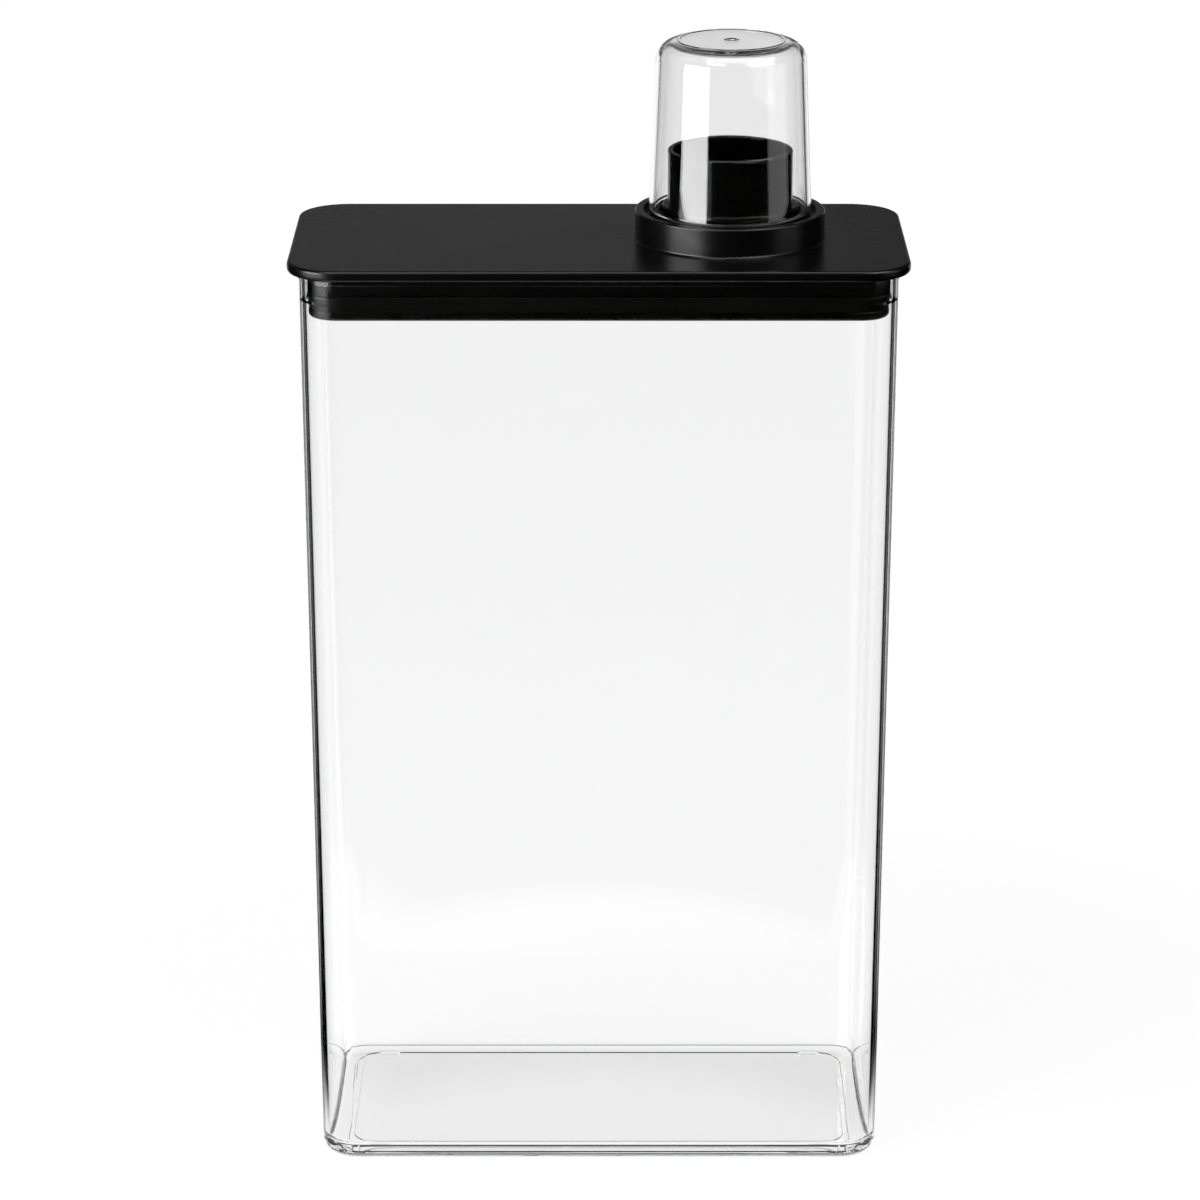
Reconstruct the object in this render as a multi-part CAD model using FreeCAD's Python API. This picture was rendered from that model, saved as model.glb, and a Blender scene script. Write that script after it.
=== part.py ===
import FreeCAD, Part
import math
import os

# Food dispenser: a clear tapered container, a sealed lid with a pouring spout,
# and a measuring cup that caps the spout.
# Millimetres, +Z up, origin on the table under the middle of the lid, the long side along X.

V = FreeCAD.Vector

# Driving dimensions of the lid
LID_WIDTH = 220.0
LID_DEPTH = 105.0
LID_CORNER = 18.0
LID_TOP = 342.0
PLATE_THICK = 4.0
PLATE_TOP_ROUND = 1.2
PLATE_UNDER_ROUND = 1.6

# Driving dimensions of the container
WALL = 2.3
FLOOR_THICK = 4.8
OVERHANG_X = 4.2
OVERHANG_Y = 3.8
DRAFT_X = 2.5
DRAFT_Y = 0.5
CONTAINER_CORNER = 14.0
BASE_ROUND = 3.5
INNER_BASE_ROUND = 2.5
BASE_STEP = 0.5
BASE_STEP_RISE = 0.14
BASE_STEP_ROOM = 0.6
STANDING_LAND_X = 5.3
STANDING_LAND_Y = 0.6
PANEL_CORNER = 9.5
PANEL_RECESS = 0.5
PANEL_ROUND = 0.25
DAIS_INSET_X = 2.5
DAIS_INSET_Y = 1.0
DAIS_RISE = 0.4
DAIS_ROUND = 0.3
RIM_BEAD = 0.35
RIM_BEAD_HEIGHT = 2.2
RIM_ROUND = 0.5
SEAL_LAND = 9.0
SEAL_LAND_RELIEF = 0.35
FOOT_LENGTH = 8.2
FOOT_WIDTH = 2.8
FOOT_HEIGHT = 0.6
FOOT_X = 82.0
FOOT_INSET = 4.8

# Driving dimensions of the lid's underside, all measured down from the lid's top
SKIRT_FOOT = 11.0
SEAL_FOOT = 16.4
PLUG_FOOT = 19.6
SKIRT_WALL = 2.5
SPIGOT_WALL = 2.2
SPIGOT_HEAD = 7.0
WEB_THICK = 2.2
LIP_ROUND = 1.8
LIP_TOP_ROUND = 0.25
SEAL_TAPER = 0.95
POST_RADIUS = 3.0
POST_BORE = 1.4

# Driving dimensions of the spout, heights measured up from the lid's top
TUBE_RADIUS = 22.4
TUBE_WALL = 2.0
TUBE_TOP = 32.4
ROOT_STEP = 1.8
ROOT_TOP = 12.7
ROOT_ROUND = 0.5
COLLAR_TO_LID_END = 29.0
COLLAR_WALL = 3.2
COLLAR_HEIGHT = 10.5
SOCKET_DEPTH = 2.0
SOCKET_FLOOR_THICK = 2.5
BOSS_WALL = 3.0
COLLAR_FOOT_ROUND = 0.8
COLLAR_EDGE_ROUND = 0.6
FLANGE_THICK = 2.0
GASKET_THICK = 1.0
GASKET_INSET = 0.6
CUP_SEAL_THICK = 2.2
CUP_SEAL_WIDTH = 3.4
CUP_SEAL_INSET = 0.3

# Driving dimensions of the measuring cup
CUP_WALL = 1.9
CUP_TAPER = 2.5
CUP_TOP = 71.8
CUP_CROWN = 1.9
SHOULDER_ROUND = 7.0
FOOT_RING_INSET = 7.4
FOOT_RING_WIDTH = 1.0
FOOT_RING_HEIGHT = 0.4
DISH_DEPTH = 0.2
GATE_RADIUS = 2.9
GATE_DEPTH = 0.6
GATE_NUB = 0.9

# Clearances
MOUTH_GAP = 0.65
SEAL_GAP = 0.32
LIP_STEP = 0.3
SPIGOT_FIT = 0.15
TUBE_FIT = 0.3
FLANGE_ROOM = 1.8
CUP_ROOM = 4.9
SOCKET_ROOM = 1.6

# Derived radii, from the tube outwards to the cup and the collar round it
TUBE_BORE = TUBE_RADIUS - TUBE_WALL
TUBE_HOLE = TUBE_RADIUS + TUBE_FIT
ROOT_RADIUS = TUBE_RADIUS + ROOT_STEP
ROOT_HOLE = ROOT_RADIUS + TUBE_FIT
CUP_RIM_BORE = TUBE_RADIUS + CUP_ROOM
CUP_RIM_RADIUS = CUP_RIM_BORE + CUP_WALL
CUP_SHOULDER_RADIUS = CUP_RIM_RADIUS - CUP_TAPER
SOCKET_RADIUS = CUP_RIM_RADIUS + SOCKET_ROOM
COLLAR_RADIUS = SOCKET_RADIUS + COLLAR_WALL
BOSS_BORE = COLLAR_RADIUS - BOSS_WALL
FLANGE_RADIUS = BOSS_BORE - FLANGE_ROOM
FOOT_RING_RADIUS = CUP_SHOULDER_RADIUS - FOOT_RING_INSET
INNER_SHOULDER_ROUND = SHOULDER_ROUND - CUP_WALL

# Derived places and levels
SPOUT_X = LID_WIDTH / 2 - COLLAR_TO_LID_END - COLLAR_RADIUS
RIM = LID_TOP - PLATE_THICK
BOSS_TOP = LID_TOP + COLLAR_HEIGHT
SOCKET_FLOOR = BOSS_TOP - SOCKET_DEPTH
BOSS_CEILING = SOCKET_FLOOR - SOCKET_FLOOR_THICK
FLANGE_TOP = BOSS_CEILING - GASKET_THICK
FLANGE_FOOT = FLANGE_TOP - FLANGE_THICK
PLUG_BOTTOM = LID_TOP - PLUG_FOOT
CUP_REST = SOCKET_FLOOR + CUP_SEAL_THICK
SPOUT = V(SPOUT_X, 0, 0)
UP = V(0, 0, 1)


def corner_points(width, depth, radius):
    """Arc centres of a rounded rectangle, counter-clockwise from +X +Y."""
    x = width / 2 - radius
    y = depth / 2 - radius
    return [V(x, y, 0), V(-x, y, 0), V(-x, -y, 0), V(x, -y, 0)]


def rounded_rectangle(width, depth, radius, z):
    """Closed wire of four straights and four quarter arcs, centred on the Z axis."""
    edges = []
    centres = corner_points(width, depth, radius)
    for turn, centre in enumerate(centres):
        arc = []
        for step in (0, 45, 90):
            angle = math.radians(90 * turn + step)
            arc.append(V(centre.x + radius * math.cos(angle), centre.y + radius * math.sin(angle), z))
        if edges:
            edges.append(Part.makeLine(edges[-1].Vertexes[-1].Point, arc[0]))
        edges.append(Part.Arc(*arc).toShape())
    edges.append(Part.makeLine(edges[-1].Vertexes[-1].Point, edges[0].Vertexes[0].Point))
    return Part.Wire(edges)


def tapered_stack(sections):
    """Drafted block through several rounded rectangles, each given with its height."""
    return Part.makeLoft([rounded_rectangle(*size, z) for z, size in sections], True, True)


def block(size, z_low, z_high):
    """Upright block of one rounded rectangle."""
    return Part.Face(rounded_rectangle(*size, z_low)).extrude(V(0, 0, z_high - z_low))


def inset(size, amount, amount_y=None):
    """A rounded rectangle drawn in by an amount on every side, or by two amounts along X and Y."""
    other = amount if amount_y is None else amount_y
    return (size[0] - 2 * amount, size[1] - 2 * other, max(size[2] - min(amount, other), 1.0))


def edges_at(shape, z):
    """Edges that lie wholly at one height."""
    found = []
    for edge in shape.Edges:
        box = edge.BoundBox
        if abs(box.ZMin - z) < 1e-4 and abs(box.ZMax - z) < 1e-4:
            found.append(edge)
    return found


def ring(outer, inner, z_low, z_high):
    """Flat-ended ring about the spout axis."""
    base = V(SPOUT_X, 0, z_low)
    height = z_high - z_low
    return Part.makeCylinder(outer, height, base).cut(Part.makeCylinder(inner, height, base))


def turned(points):
    """Revolve a closed outline of radius and height pairs about the spout axis."""
    outline = [V(SPOUT_X + r, 0, z) for r, z in points]
    face = Part.Face(Part.makePolygon(outline + outline[:1]))
    return face.revolve(SPOUT, UP, 360)


def circles(shape, radius, z):
    """Circular edges about the spout axis with one radius and height."""
    found = []
    for edge in shape.Edges:
        if edge.Curve.TypeId != "Part::GeomCircle":
            continue
        if abs(edge.Curve.Radius - radius) < 1e-4 and abs(edge.Curve.Center.z - z) < 1e-4:
            found.append(edge)
    return found


# Outer sizes of the container at the rim and, by draft, at the table
RIM_SIZE = inset((LID_WIDTH, LID_DEPTH, LID_CORNER), OVERHANG_X, OVERHANG_Y)
RIM_SIZE = (RIM_SIZE[0], RIM_SIZE[1], CONTAINER_CORNER)
BASE_SIZE = inset(RIM_SIZE, DRAFT_X, DRAFT_Y)


def container_size(z, depth_in):
    """Section of the container's drafted wall at a height, drawn in from its outer face."""
    share = (RIM - z) / (RIM - FOOT_HEIGHT)
    outer = inset(RIM_SIZE, DRAFT_X * share, DRAFT_Y * share)
    return inset(outer, depth_in)


# Container: drafted outside with a rounded base set in by a small step, and a thin bead round the rim
bead_low = RIM - RIM_BEAD_HEIGHT
step_low = FOOT_HEIGHT + BASE_ROUND + BASE_STEP_ROOM
step_high = step_low + BASE_STEP_RISE
shell = tapered_stack([
    (FOOT_HEIGHT, inset(BASE_SIZE, BASE_STEP)),
    (step_low, container_size(step_low, BASE_STEP)),
    (step_high, container_size(step_high, 0)),
    (bead_low, container_size(bead_low, 0)),
    (bead_low + RIM_BEAD, container_size(bead_low + RIM_BEAD, -RIM_BEAD)),
    (RIM, container_size(RIM, -RIM_BEAD)),
])
shell = shell.makeFillet(BASE_ROUND, edges_at(shell, FOOT_HEIGHT))

# Container: drafted hollow with a rounded floor and a relieved land at the mouth for the lid's seal
floor_top = FOOT_HEIGHT + FLOOR_THICK
land_low = RIM - SEAL_LAND
land_wall = WALL - SEAL_LAND_RELIEF
hollow = tapered_stack([
    (floor_top, container_size(floor_top, WALL)),
    (land_low - 1, container_size(land_low - 1, WALL)),
    (land_low, container_size(land_low, land_wall)),
    (RIM + 1, container_size(RIM + 1, land_wall)),
])
hollow = hollow.makeFillet(INNER_BASE_ROUND, edges_at(hollow, floor_top))

# Container: the middle of the floor stands a little higher, over the recess moulded under it
edge_width = BASE_STEP + BASE_ROUND
panel = inset(BASE_SIZE, edge_width + STANDING_LAND_X, edge_width + STANDING_LAND_Y)
panel = (panel[0], panel[1], PANEL_CORNER)
dais_top = floor_top + DAIS_RISE
dais = block(inset(panel, DAIS_INSET_X, DAIS_INSET_Y), FOOT_HEIGHT + PANEL_RECESS, dais_top)
dais = dais.makeFillet(DAIS_ROUND, edges_at(dais, dais_top))
hollow = hollow.cut(dais)
container = shell.cut(hollow)
container = container.makeFillet(RIM_ROUND, edges_at(container, RIM))

# Container: recessed panel under the floor, so it stands on an outer ring
recess_top = FOOT_HEIGHT + PANEL_RECESS
recess = tapered_stack([(FOOT_HEIGHT, panel), (recess_top, inset(panel, PANEL_RECESS * 0.3))])
recess = recess.makeFillet(PANEL_ROUND, edges_at(recess, recess_top))
container = container.cut(recess)

# Container: four moulded feet on the standing ring
foot_y = BASE_SIZE[1] / 2 - FOOT_INSET
for side_x in (-1, 1):
    for side_y in (-1, 1):
        foot = block((FOOT_LENGTH, FOOT_WIDTH, FOOT_WIDTH * 0.45), 0, recess_top + FOOT_HEIGHT)
        foot = foot.makeFillet(FOOT_HEIGHT * 0.5, edges_at(foot, 0))
        foot.translate(V(side_x * FOOT_X, side_y * foot_y, 0))
        container = container.fuse(foot)
container = container.removeSplitter()

# Lid cover: overhanging plate with rounded edges
plate = block((LID_WIDTH, LID_DEPTH, LID_CORNER), RIM, LID_TOP)
plate = plate.makeFillet(PLATE_TOP_ROUND, edges_at(plate, LID_TOP))
plate = plate.makeFillet(PLATE_UNDER_ROUND, edges_at(plate, RIM))

# Lid cover: skirt that enters the container's mouth
skirt_size = container_size(RIM, WALL + MOUTH_GAP)
skirt_bore = inset(skirt_size, SKIRT_WALL)
skirt_low = LID_TOP - SKIRT_FOOT
skirt = block(skirt_size, skirt_low, RIM)
skirt = skirt.makeFillet(0.5, edges_at(skirt, skirt_low))
skirt = skirt.cut(block(skirt_bore, skirt_low, RIM))

# Lid cover: round boss with the cup's socket in its top and the spout's seat below
boss = Part.makeCylinder(COLLAR_RADIUS, BOSS_TOP - RIM, V(SPOUT_X, 0, RIM))
cover = plate.fuse(boss).fuse(skirt)
cover = cover.cut(Part.makeCylinder(BOSS_BORE, BOSS_CEILING - RIM, V(SPOUT_X, 0, RIM)))
cover = cover.cut(Part.makeCylinder(SOCKET_RADIUS, SOCKET_DEPTH, V(SPOUT_X, 0, SOCKET_FLOOR)))
cover = cover.cut(Part.makeCylinder(ROOT_HOLE, BOSS_TOP - RIM, V(SPOUT_X, 0, RIM)))
cover = cover.makeFillet(COLLAR_FOOT_ROUND, circles(cover, COLLAR_RADIUS, LID_TOP))
collar_edges = circles(cover, COLLAR_RADIUS, BOSS_TOP) + circles(cover, SOCKET_RADIUS, BOSS_TOP)
cover = cover.makeFillet(COLLAR_EDGE_ROUND, collar_edges)

# Lid plug: closed lower web with a lip, and a spigot that plugs into the skirt
lip_size = inset(skirt_size, LIP_STEP)
spigot_size = inset(skirt_bore, SPIGOT_FIT)
lip_top = LID_TOP - SEAL_FOOT
lip = block(lip_size, PLUG_BOTTOM, lip_top)
lip = lip.makeFillet(LIP_ROUND, edges_at(lip, PLUG_BOTTOM))
lip = lip.makeFillet(LIP_TOP_ROUND, edges_at(lip, lip_top))
spigot = block(spigot_size, lip_top, LID_TOP - SPIGOT_HEAD)
tray_size = inset(spigot_size, SPIGOT_WALL)
web_top = PLUG_BOTTOM + WEB_THICK
tray = block(tray_size, web_top, LID_TOP - SPIGOT_HEAD)
plug = lip.fuse(spigot).cut(tray)
plug = plug.fuse(ring(TUBE_HOLE + SPIGOT_WALL, TUBE_HOLE, web_top, FLANGE_FOOT))
post_x = tray_size[0] / 2 - 3 * POST_RADIUS
post_y = tray_size[1] / 2 - 3 * POST_RADIUS
for spot_x in (-post_x, (-post_x + SPOUT_X - COLLAR_RADIUS) / 2, post_x):
    for spot_y in (-post_y, post_y):
        post_height = RIM - web_top
        post = Part.makeCylinder(POST_RADIUS, post_height, V(spot_x, spot_y, web_top))
        bore = Part.makeCylinder(POST_BORE, post_height, V(spot_x, spot_y, web_top))
        plug = plug.fuse(post.cut(bore))
plug = plug.cut(Part.makeCylinder(TUBE_HOLE, FLANGE_FOOT - PLUG_BOTTOM, V(SPOUT_X, 0, PLUG_BOTTOM)))
plug = plug.removeSplitter()

# Lid seal: soft ring clamped between skirt and lip, widest at its upper fin
fin_size = inset(skirt_size, -(MOUTH_GAP - SEAL_GAP))
seal_low_size = inset(fin_size, SEAL_TAPER)
seal = tapered_stack([(lip_top, seal_low_size), (skirt_low, fin_size)])
seal = seal.makeFillet(0.5, edges_at(seal, skirt_low))
seal = seal.cut(block(skirt_bore, lip_top, skirt_low))

# Spout tube: open tube with a thicker root, and a flange that is clamped inside the lid
tube_top = LID_TOP + TUBE_TOP
root_top = LID_TOP + ROOT_TOP
tube = turned([(TUBE_BORE, PLUG_BOTTOM), (TUBE_RADIUS, PLUG_BOTTOM), (TUBE_RADIUS, FLANGE_FOOT),
               (FLANGE_RADIUS, FLANGE_FOOT), (FLANGE_RADIUS, FLANGE_TOP), (ROOT_RADIUS, FLANGE_TOP),
               (ROOT_RADIUS, root_top), (TUBE_RADIUS, root_top),
               (TUBE_RADIUS, tube_top), (TUBE_BORE, tube_top)])
mouth_edges = circles(tube, TUBE_RADIUS, tube_top) + circles(tube, TUBE_BORE, tube_top)
tube = tube.makeFillet(TUBE_WALL * 0.25, mouth_edges)
tube = tube.makeFillet(TUBE_WALL * 0.3, circles(tube, TUBE_BORE, PLUG_BOTTOM))
tube = tube.makeFillet(ROOT_ROUND, circles(tube, ROOT_RADIUS, root_top))

# Spout gasket: flat ring between the tube's flange and the cover
gasket = ring(FLANGE_RADIUS - GASKET_INSET, ROOT_HOLE + GASKET_INSET, FLANGE_TOP, BOSS_CEILING)

# Cup seal: ring on the socket's floor under the cup's rim
cup_seal_outer = CUP_RIM_RADIUS - CUP_SEAL_INSET
cup_seal = ring(cup_seal_outer, cup_seal_outer - CUP_SEAL_WIDTH, SOCKET_FLOOR, CUP_REST)
cup_seal = cup_seal.makeFillet(CUP_SEAL_THICK * 0.25, circles(cup_seal, cup_seal_outer, CUP_REST))

# Measuring cup: turned shell, upside down, with a rounded shoulder and a foot ring on its closed end
cup_top = LID_TOP + CUP_TOP
shoulder_top = cup_top - FOOT_RING_HEIGHT
outer_cup = turned([(0, CUP_REST), (CUP_RIM_RADIUS, CUP_REST),
                    (CUP_SHOULDER_RADIUS, shoulder_top), (0, shoulder_top)])
outer_cup = outer_cup.makeFillet(SHOULDER_ROUND, circles(outer_cup, CUP_SHOULDER_RADIUS, shoulder_top))
ceiling = shoulder_top - CUP_CROWN
slope = CUP_TAPER / (shoulder_top - CUP_REST)
inner_top = CUP_RIM_BORE - slope * (ceiling - CUP_REST)
inner_cup = turned([(0, CUP_REST), (CUP_RIM_BORE, CUP_REST), (inner_top, ceiling), (0, ceiling)])
inner_cup = inner_cup.makeFillet(INNER_SHOULDER_ROUND, circles(inner_cup, inner_top, ceiling))
crown_foot = shoulder_top - CUP_CROWN / 2
crown = Part.makeCylinder(FOOT_RING_RADIUS, cup_top - crown_foot, V(SPOUT_X, 0, crown_foot))
cup = outer_cup.cut(inner_cup).fuse(crown)
cup = cup.makeFillet(FOOT_RING_HEIGHT * 0.5, circles(cup, FOOT_RING_RADIUS, cup_top))
dish_radius = FOOT_RING_RADIUS - FOOT_RING_WIDTH
dish = Part.makeCone(dish_radius - DISH_DEPTH, dish_radius, DISH_DEPTH, V(SPOUT_X, 0, cup_top - DISH_DEPTH))
cup = cup.cut(dish)
gate_top = cup_top - DISH_DEPTH
gate_ball = (GATE_RADIUS ** 2 + GATE_DEPTH ** 2) / (2 * GATE_DEPTH)
cup = cup.cut(Part.makeSphere(gate_ball, V(SPOUT_X, 0, gate_top - GATE_DEPTH + gate_ball)))
cup = cup.fuse(Part.makeCylinder(GATE_NUB, GATE_DEPTH, V(SPOUT_X, 0, gate_top - GATE_DEPTH - 0.1)))
rim_edges = circles(cup, CUP_RIM_RADIUS, CUP_REST) + circles(cup, CUP_RIM_BORE, CUP_REST)
cup = cup.makeFillet(CUP_WALL * 0.25, rim_edges)
cup = cup.removeSplitter()

NODES = {
    "container": container,
    "lid_cover": cover,
    "lid_plug": plug,
    "lid_seal": seal,
    "spout_tube": tube,
    "spout_gasket": gasket,
    "cup_seal": cup_seal,
    "measuring_cup": cup,
}

os.makedirs("parts", exist_ok=True)
for name, shape in NODES.items():
    shape.exportStep("parts/" + name + ".step")
    print(name, "solids", len(shape.Solids), "valid", shape.isValid(), "volume", round(shape.Volume, 1))
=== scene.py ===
# %% [markdown]
# # A clear food dispenser with a black lid
# The canister is built in CAD: a clear container, a lid made of several black mouldings, and a clear cup
# that caps the spout. This script dresses those solids: it gives each one the finish of the real plastic,
# sets up a small photo studio around them, and places the camera where the photograph was taken from.

import math

import bpy
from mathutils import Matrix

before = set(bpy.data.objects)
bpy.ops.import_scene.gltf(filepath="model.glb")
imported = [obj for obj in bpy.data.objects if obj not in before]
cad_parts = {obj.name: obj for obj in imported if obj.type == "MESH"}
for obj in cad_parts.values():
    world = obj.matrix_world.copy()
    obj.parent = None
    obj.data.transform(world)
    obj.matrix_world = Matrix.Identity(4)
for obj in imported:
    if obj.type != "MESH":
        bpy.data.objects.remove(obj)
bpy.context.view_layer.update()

# %% [markdown]
# ## Node maths in plain Python
# A material is a graph of nodes. Wrapping each output socket in a small class lets the script write
# `1 - mask` and get the Math node that does it. Every other node comes from one method, which takes the
# node's type, its settings and what goes into its sockets.

# %% A socket that can be added, scaled and compared
class Value:
    """An output socket that makes Math nodes when it is used in an expression."""

    def __init__(self, graph, socket):
        self.graph = graph
        self.socket = socket

    def maths(self, operation, first, second):
        return self.graph.node("ShaderNodeMath", {"operation": operation}, {0: first, 1: second})

    def __add__(self, other):
        return self.maths("ADD", self, other)

    def __rsub__(self, other):
        return self.maths("SUBTRACT", other, self)

    def __mul__(self, other):
        return self.maths("MULTIPLY", self, other)

    def at_least(self, other):
        return self.maths("MAXIMUM", self, other)

    def under(self, limit):
        return self.maths("LESS_THAN", self, limit)

    __radd__ = __add__


class Graph:
    """The node tree of one material or of the world."""

    def __init__(self, owner):
        owner.use_nodes = True
        self.tree = owner.node_tree
        self.tree.nodes.clear()

    def node(self, kind, settings=None, sockets=None, out=0):
        """Add a node, set it up, feed its sockets, and hand back one of its outputs."""
        made = self.tree.nodes.new(kind)
        for name, value in (settings or {}).items():
            setattr(made, name, value)
        for name, value in (sockets or {}).items():
            if isinstance(value, Value):
                self.tree.links.new(value.socket, made.inputs[name])
            else:
                made.inputs[name].default_value = value
        return Value(self, made.outputs[out]) if made.outputs else None

    def mix_colour(self, share, first, second):
        """Blend two colours by a share from 0 to 1."""
        return self.node("ShaderNodeMix", {"data_type": "RGBA"}, {0: share, 6: first, 7: second}, out=2)


print("node helpers ready")

# %% [markdown]
# ## Clear plastic
# The container and the cup are injection moulded in a clear, stiff plastic. It bends light about as much
# as acrylic does, and it soaks up a trace of light, which shows only where the eye looks down the length
# of a wall. A Glass shader would do, but a Principled shader with full transmission exports better, and a
# Volume Absorption gives the trace of grey. Mould flow leaves very slight waves, so a weak, wide bump
# breaks up the reflections, and handling leaves the polish a shade uneven.

# %% A maker for the clear plastics
WAVE_STRENGTH = 0.04
WAVE_DEPTH = 0.0004
HANDLING_SCALE = 60.0
HANDLING_DULLNESS = 0.994
HANDLING_ROUGHNESS = 0.02
WALL_TINT = (0.72, 0.73, 0.73, 1)
WALL_DENSITY = 5.0


def even_tone(level):
    """A colour with the same level of red, green and blue."""
    return (level, level, level, 1)


def clear_plastic(name, wave_size, clearness, bending):
    material = bpy.data.materials.new(name)
    graph = Graph(material)
    place = graph.node("ShaderNodeTexCoord", out="Object")
    flow = graph.node("ShaderNodeTexNoise", None, {"Vector": place, "Scale": 1 / wave_size, "Detail": 2.0})
    handling = graph.node("ShaderNodeTexNoise", None, {
        "Vector": place, "Scale": HANDLING_SCALE, "Detail": 4.0})
    waves = graph.node("ShaderNodeBump", None, {
        "Strength": WAVE_STRENGTH, "Distance": WAVE_DEPTH, "Height": flow})
    tint = graph.mix_colour(handling, even_tone(HANDLING_DULLNESS * clearness), even_tone(clearness))
    surface = graph.node("ShaderNodeBsdfPrincipled", None, {
        "Base Color": tint,
        "Roughness": handling * HANDLING_ROUGHNESS,
        "IOR": bending,
        "Transmission Weight": 1.0,
        "Normal": waves,
    })
    inside = graph.node("ShaderNodeVolumeAbsorption", None, {"Color": WALL_TINT, "Density": WALL_DENSITY})
    graph.node("ShaderNodeOutputMaterial", None, {"Surface": surface, "Volume": inside})
    return material


clear_body = clear_plastic("clear_body", wave_size=0.05, clearness=1.0, bending=1.45)
clear_cup = clear_plastic("clear_cup", wave_size=0.03, clearness=0.97, bending=1.49)
print("clear plastics made:", clear_body.name, clear_cup.name)

# %% [markdown]
# ## Black plastic and silicone
# The lid and its plug are black plastic from a finely etched mould: satin, with a grain too small to see
# as dots. The spout tube comes from a polished mould, so it is smoother and shows the lamps as clear
# bands. The seals are silicone rubber, duller than both. One maker covers all three: a grain feeds a Bump
# node, a slow cloud moves the roughness between two limits, and the colour drifts a little around black.

# %% A maker for the black finishes
DARKER_BLACK = (0.00096, 0.00096, 0.000984, 1)
LIGHTER_BLACK = (0.00144, 0.00144, 0.001476, 1)
BLACK_BENDING = 1.46
CLOUD_SCALE = 25.0
GRAIN_STRENGTH = 0.5


def black_finish(name, smoothest, roughest, grain_size, grain_depth):
    material = bpy.data.materials.new(name)
    graph = Graph(material)
    place = graph.node("ShaderNodeTexCoord", out="Object")
    grain = graph.node("ShaderNodeTexNoise", None, {"Vector": place, "Scale": 1 / grain_size, "Detail": 2.0})
    cloud = graph.node("ShaderNodeTexNoise", None, {"Vector": place, "Scale": CLOUD_SCALE, "Detail": 3.0})
    skin = graph.node("ShaderNodeBump", None, {
        "Strength": GRAIN_STRENGTH, "Distance": grain_depth, "Height": grain})
    surface = graph.node("ShaderNodeBsdfPrincipled", None, {
        "Base Color": graph.mix_colour(grain, DARKER_BLACK, LIGHTER_BLACK),
        "Roughness": smoothest + cloud * (roughest - smoothest),
        "IOR": BLACK_BENDING,
        "Normal": skin,
    })
    graph.node("ShaderNodeOutputMaterial", None, {"Surface": surface})
    return material


black_satin = black_finish("black_satin", 0.24, 0.29, grain_size=0.0004, grain_depth=0.00002)
black_smooth = black_finish("black_smooth", 0.12, 0.17, grain_size=0.0006, grain_depth=0.00001)
black_silicone = black_finish("black_silicone", 0.3, 0.36, grain_size=0.0005, grain_depth=0.00002)
print("black finishes made:", black_satin.name, black_smooth.name, black_silicone.name)

# %% [markdown]
# ## Dress the solids
# The CAD nodes already have the right shapes and rounded edges, so none is replaced. Each one only gets
# its finish, in the first material slot.

# %% Give each node its finish
finishes = {
    "container": clear_body,
    "measuring_cup": clear_cup,
    "lid_cover": black_satin,
    "lid_plug": black_satin,
    "lid_seal": black_silicone,
    "spout_tube": black_smooth,
    "spout_gasket": black_silicone,
    "cup_seal": black_silicone,
}
for node, material in finishes.items():
    piece = bpy.data.objects[node]
    piece.data.materials.clear()
    piece.data.materials.append(material)
    print(node, "wears", material.name)

# %% [markdown]
# ## A white background that is not a lamp
# The photograph has a plain white background. Lighting a floor until it is white would flood the object,
# so the background is white only to rays that look at it: those straight from the camera, and those that
# only passed through clear plastic, so that it looks clear from every side. A Light Path node tells these
# rays apart.

# %% Tell rays apart
def from_camera(graph):
    """1 for a ray that comes straight from the camera."""
    return graph.node("ShaderNodeLightPath", out="Is Camera Ray")


def passed_through(graph):
    """1 for a ray that only passed through clear plastic, and was never mirrored."""
    clear_ray = graph.node("ShaderNodeLightPath", out="Is Transmission Ray")
    mirror_count = graph.node("ShaderNodeLightPath", out="Glossy Depth")
    return clear_ray * mirror_count.under(0.5)


def whiteness(graph, to_camera, backdrop):
    """One level to the camera, white to rays that passed through, and the backdrop's to mirrored ones."""
    glossy_ray = graph.node("ShaderNodeLightPath", out="Is Glossy Ray")
    clear_ray = graph.node("ShaderNodeLightPath", out="Is Transmission Ray")
    left_object = glossy_ray.at_least(clear_ray)
    return from_camera(graph) * to_camera + left_object * passed_through(graph).at_least(backdrop)


print("background rule ready")

# %% [markdown]
# ## The backdrop in mirrors
# A mirrored ray sees white only where a photographer would put the backdrop: behind the object, about a
# third of a right angle to each side. Round it the room is dark, and that dark draws the black lines
# along the edges of clear plastic and keeps the black plastic black. The angle between two level
# directions follows from their dot product, so a smooth step between two cosines gives the backdrop a
# soft edge.

# %% A sector round a direction
BACKDROP_FULL = 28
BACKDROP_END = 34


def ramp(graph, value, zero_at, one_at):
    """A smooth step from 0 to 1."""
    return graph.node("ShaderNodeMapRange", {"interpolation_type": "SMOOTHSTEP"}, {
        "Value": value, "From Min": zero_at, "From Max": one_at, "To Min": 0.0, "To Max": 1.0})


def sector(graph, place, aim, set_back, full, end):
    """1 within an angle in degrees round a level aim, for a direction or place, seen from a little in front."""
    flat = graph.node("ShaderNodeVectorMath", {"operation": "MULTIPLY_ADD"}, {
        0: place, 1: (1, 1, 0), 2: (0, set_back, 0)})
    unit = graph.node("ShaderNodeVectorMath", {"operation": "NORMALIZE"}, {0: flat})
    along = graph.node("ShaderNodeVectorMath", {"operation": "DOT_PRODUCT"}, {0: unit, 1: aim}, out="Value")
    return ramp(graph, along, math.cos(math.radians(end)), math.cos(math.radians(full)))


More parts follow.
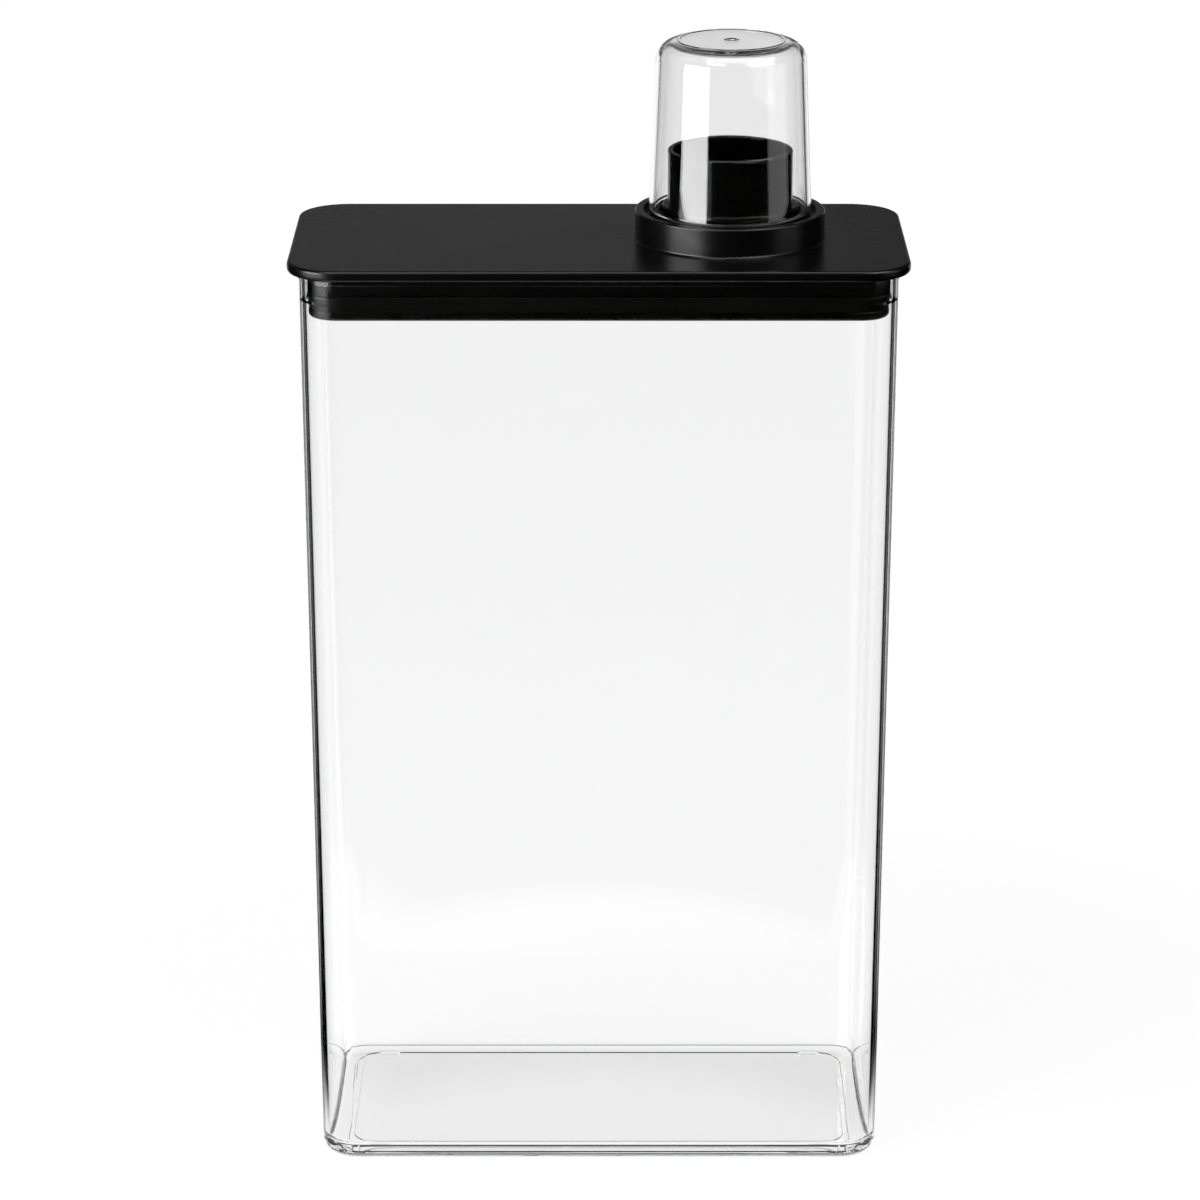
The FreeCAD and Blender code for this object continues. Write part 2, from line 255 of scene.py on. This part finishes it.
def behind(graph, place, set_back):
    """1 within the backdrop's width."""
    return sector(graph, place, (0, 1, 0), set_back, BACKDROP_FULL, BACKDROP_END)


print("backdrop reaches", BACKDROP_END, "degrees to each side")

# %% [markdown]
# ## The floor
# One large plane, so that it reaches the horizon from every side. It is a stage piece: it isn't part of
# the object.

# %% Lay the floor
FLOOR_SIZE = 40
bpy.ops.object.select_all(action="DESELECT")
bpy.ops.mesh.primitive_plane_add(size=FLOOR_SIZE)
floor = bpy.context.object
floor.name = "studio_floor"
print("floor", [round(v, 2) for v in floor.dimensions])

# %% [markdown]
# ## The floor's paper
# The floor is grey paper, with the white of the background added on top. Near the object that white is a
# touch under full, so that the object's soft shadow shows. Mirrored rays see white paper in three places:
# behind the object, under its clear base, and in front of the left soft box, which puts the pale band
# down the container's left corner. They don't see the grey, which would lift the black plastic.

# %% Paint the floor
BACKDROP_SET_BACK = 0.13
SHADOW_DEPTH = 0.08
PAPER_GREY = 0.1
LEFT_BOX_TURN = -56


def heading(degrees):
    """A level direction at an angle from the camera's side, counted towards the right."""
    turn = math.radians(degrees)
    return (math.sin(turn), -math.cos(turn), 0)


paper = bpy.data.materials.new("studio_paper")
graph = Graph(paper)
place = graph.node("ShaderNodeTexCoord", out="Object")
reach = graph.node("ShaderNodeVectorMath", {"operation": "LENGTH"}, {0: place}, out="Value")
under_object = ramp(graph, reach, 0.15, 0.11)
left_paper = sector(graph, place, heading(LEFT_BOX_TURN), 0.0, 8, 26) * ramp(graph, reach, 1.7, 1.5)
backdrop = behind(graph, place, BACKDROP_SET_BACK).at_least(under_object).at_least(left_paper)
to_camera = 1 - ramp(graph, reach, 0.5, 0.25) * SHADOW_DEPTH
white = graph.node("ShaderNodeEmission", None, {
    "Color": even_tone(1), "Strength": whiteness(graph, to_camera, backdrop)})
grey = graph.node("ShaderNodeBsdfDiffuse", None, {"Color": even_tone(PAPER_GREY)})
sees_grey = from_camera(graph).at_least(passed_through(graph))
shade = graph.node("ShaderNodeMixShader", None, {0: sees_grey, 2: grey})
both = graph.node("ShaderNodeAddShader", None, {0: shade, 1: white})
graph.node("ShaderNodeOutputMaterial", None, {"Surface": both})
floor.data.materials.append(paper)
print("floor wears", paper.name)

# %% [markdown]
# ## Lamps
# The highlights in the photograph say where the lamps stood. A round cup shows a lamp at half its angle,
# so the bright band on the left of the cup means a soft box well round to the left, and the weak band on
# the right a dimmer one further round. Two more hang high in front, and draw the two small windows on the
# cup's shoulder. One overhead draws the thin lines along the lid's edges. A dim card behind, on the left,
# gives the lid its sheen, which fades towards the spout.

# %% A soft box that looks at a point
def softbox(name, place, look_at, width, height, radiance):
    lamp = bpy.data.lights.new(name, "AREA")
    lamp.shape = "RECTANGLE"
    lamp.size = width
    lamp.size_y = height
    lamp.energy = radiance * math.pi * width * height
    box = bpy.data.objects.new(name, lamp)
    bpy.context.scene.collection.objects.link(box)
    box.visible_camera = False
    box.location = place
    aim = [a - b for a, b in zip(look_at, place)]
    level = math.hypot(aim[0], aim[1])
    box.rotation_euler = (math.atan2(level, -aim[2]), 0, math.atan2(-aim[0], aim[1]))
    print(name, "radiance", radiance, "at", [round(v, 2) for v in place])


print("soft box maker ready")

# %% Hang the soft boxes
CUP_X = 0.047
BESIDE_CUP = (CUP_X, 0, 0.5)
CUP_TOP = (CUP_X, 0, 0.41)
LID_FRONT = (0.05, 0, 0.36)
LID_MIDDLE = (0, 0, 0.34)


def round_the_cup(degrees, distance, height):
    """A place seen from the cup, at an angle from the camera's side, counted towards the right."""
    across, back, _ = heading(degrees)
    return (CUP_X + distance * across, distance * back, height)


softbox("softbox_left", round_the_cup(LEFT_BOX_TURN, 0.9, 0.5), BESIDE_CUP, 0.69, 0.6, radiance=9.0)
softbox("softbox_right", round_the_cup(72, 0.9, 0.5), BESIDE_CUP, 0.55, 0.6, radiance=0.95)
softbox("softbox_high_left", round_the_cup(-30, 0.82, 1.28), CUP_TOP, 0.54, 0.25, radiance=5.0)
softbox("softbox_high_right", round_the_cup(55, 0.88, 1.23), CUP_TOP, 0.85, 0.6, radiance=4.0)
softbox("softbox_top", (0.05, -0.2, 1.3), LID_FRONT, 1.0, 0.4, radiance=3.0)
softbox("sheen_card", (-0.3, 0.85, 0.65), LID_MIDDLE, 0.9, 0.6, radiance=0.053)

# %% [markdown]
# ## The room
# Around the lamps the room is dim. Behind the object a low pale strip stands just above the horizon. The
# flat top of the cup and the spout's rim mirror it, while the lid below, seen more steeply, looks over it
# into the dark.

# %% Fill the room
STRIP_LEVEL = 0.45
ROOM_LEVEL = 0.015
world = bpy.data.worlds.new("studio_room")
bpy.context.scene.world = world
graph = Graph(world)
direction = graph.node("ShaderNodeTexCoord", out="Generated")
rise = graph.node("ShaderNodeSeparateXYZ", None, {0: direction}, out="Z")
strip = ramp(graph, rise, 0.15, 0.17) * ramp(graph, rise, 0.224, 0.2105) * STRIP_LEVEL
background = whiteness(graph, 1.0, behind(graph, direction, 0.0) * strip)
room = graph.node("ShaderNodeBackground", None, {
    "Color": even_tone(1), "Strength": background + ROOM_LEVEL})
graph.node("ShaderNodeOutputWorld", None, {"Surface": room})
print("room ready")

# %% [markdown]
# ## Bounces
# Light runs along a clear wall as it does along a glass fibre, and turns many times before it leaves at
# an edge. With too few bounces those paths end in black, so the limits are raised.

# %% Let light turn often enough
PATH_TURNS = 16
cycles = bpy.context.scene.cycles
cycles.max_bounces = PATH_TURNS
cycles.glossy_bounces = PATH_TURNS
cycles.transmission_bounces = PATH_TURNS
print("bounces allowed", cycles.max_bounces)

# %% [markdown]
# ## The camera
# The camera's place was worked out from the photograph: the lid's front and back edges, the spout's
# circles and the base give its height, distance and tilt once the lid is taken to be 220 mm wide. The
# lens is long, so upright edges converge only a little towards the base.

# %% Place the camera
FRAME_PIXELS = 1200
FOCAL_PIXELS = 4523.0
CAMERA_PLACE = (0.0004, -1.5847, 0.7259)
LOOKS_DOWN = 18.212
lens = bpy.data.cameras.new("photo_camera")
lens.sensor_width = 36.0
lens.lens = FOCAL_PIXELS / FRAME_PIXELS * lens.sensor_width
camera = bpy.data.objects.new("photo_camera", lens)
bpy.context.scene.collection.objects.link(camera)
camera.location = CAMERA_PLACE
camera.rotation_euler = (math.radians(90 - LOOKS_DOWN), 0, 0)
bpy.context.scene.camera = camera
bpy.context.scene.view_settings.view_transform = "Standard"
print("lens", round(lens.lens, 1), "mm")
